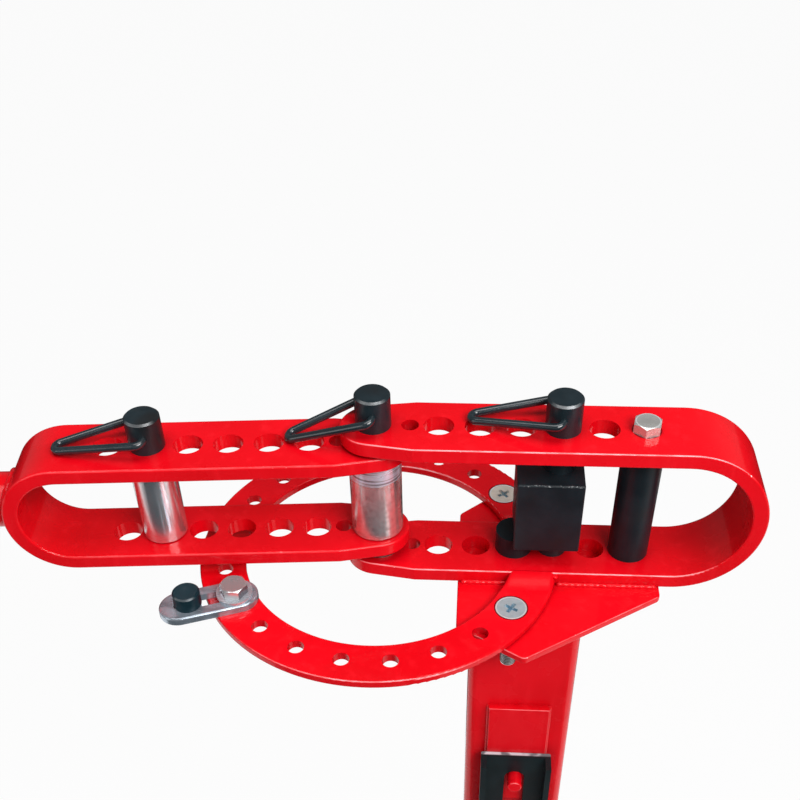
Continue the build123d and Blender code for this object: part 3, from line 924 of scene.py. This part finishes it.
def dark_card(name, tone, x, y, width, depth):
    """A card seen only in reflections, from its near left corner and its size in metres."""
    above_floor = 0.02
    shape = bmesh.new()
    shape.faces.new([
        shape.verts.new((x + right * width, y + back * depth, above_floor))
        for right, back in ((0, 0), (1, 0), (1, 1), (0, 1))
    ])
    mesh = bpy.data.meshes.new(name)
    shape.to_mesh(mesh)
    shape.free()
    material = new_finish(name)[0]
    set_finish(material, {"Base Color": tone, "Roughness": 0.9, "Specular IOR Level": 0.0})
    mesh.materials.append(material)
    card = bpy.data.objects.new(name, mesh)
    bpy.context.scene.collection.objects.link(card)
    card.visible_camera = False
    card.visible_diffuse = False
    card.visible_shadow = False
    card.visible_transmission = False


dark_blue = (0.012, 0.045, 0.06, 1)
dark_grey = (0.03, 0.03, 0.03, 1)
dark_card("card_front", dark_blue, x=-1.4, y=-1.6, width=1.85, depth=1.2)
dark_card("card_near", dark_blue, x=-9.0, y=-9.0, width=18.0, depth=7.4)
dark_card("card_side", dark_blue, x=0.45, y=-1.6, width=0.65, depth=0.85)
dark_card("card_rear", dark_grey, x=-1.1, y=0.5, width=2.0, depth=0.5)
dark_card("card_far", dark_grey, x=-12.0, y=1.0, width=24.0, depth=14.0)

world = bpy.data.worlds.new("studio")
bpy.context.scene.world = world
world.use_nodes = True
world_tree = world.node_tree
room = world_tree.nodes["Background"]
room.inputs["Color"].default_value = (1, 1, 1, 1)
way_out = Shade(world_tree, world_tree.nodes.new("ShaderNodeTexCoord").outputs["Generated"])
backdrop = 0.972
dim = 0.2
ceiling = 0.12
wall = 0.22
low_down = 1.0 - ease(reach(way_out, "Z"), 0.25, 0.6)
straight = way_out.node("LightPath", output="Is Camera Ray")
mirrored = way_out.node("LightPath", output="Is Glossy Ray")
strength = dim + straight * (backdrop - dim) + mirrored * (ceiling - dim + (wall - ceiling) * low_down)
world_tree.links.new(strength.socket, room.inputs["Strength"])


def soft_lamp(name, where, target, width, height, watts):
    """A rectangular lamp with a soft front."""
    lamp = bpy.data.lights.new(name, "AREA")
    lamp.shape = "RECTANGLE"
    lamp.size = width
    lamp.size_y = height
    lamp.energy = watts
    holder = bpy.data.objects.new(name, lamp)
    bpy.context.scene.collection.objects.link(holder)
    holder.location = where
    holder.rotation_euler = (Vector(target) - Vector(where)).to_track_quat("-Z", "Y").to_euler()


head = (-0.12, 0, 0.95)
soft_lamp("lamp_front", (0.95, -1.35, 2.45), head, width=1.5, height=0.9, watts=46)
soft_lamp("lamp_top", (-0.1, -0.2, 2.9), head, width=2.2, height=0.9, watts=20)
soft_lamp("lamp_left", (-1.9, -1.3, 1.7), head, width=0.9, height=0.9, watts=4)


# Camera: in front of the machine and above it, looking down at the head, with the
# head in the lower half of a square picture.

def view_axes(yaw, pitch, roll):
    """Right, up and forward directions of a camera."""
    level = Vector((sin(yaw), cos(yaw), 0))
    side = Vector((cos(yaw), -sin(yaw), 0))
    up = Vector((0, 0, 1))
    forward = cos(pitch) * level + sin(pitch) * up
    upright = cos(pitch) * up - sin(pitch) * level
    return cos(roll) * side + sin(roll) * upright, cos(roll) * upright - sin(roll) * side, forward


camera_yaw = radians(-4.9)
camera_pitch = radians(-44.3)
camera_roll = radians(-1.71)
camera_place = (-0.0479, -0.6546, 1.4863)
camera_data = bpy.data.cameras.new("camera")
camera = bpy.data.objects.new("camera", camera_data)
bpy.context.scene.collection.objects.link(camera)
right, upward, forward = view_axes(camera_yaw, camera_pitch, camera_roll)
pose = Matrix((right, upward, -forward)).transposed().to_4x4()
pose.translation = camera_place
camera.matrix_world = pose
camera_data.sensor_width = 36.0
camera_data.lens = 49.2
camera_data.shift_y = 0.24
camera_data.clip_start = 0.01
bpy.context.scene.camera = camera

bpy.context.scene.view_settings.view_transform = "Standard"
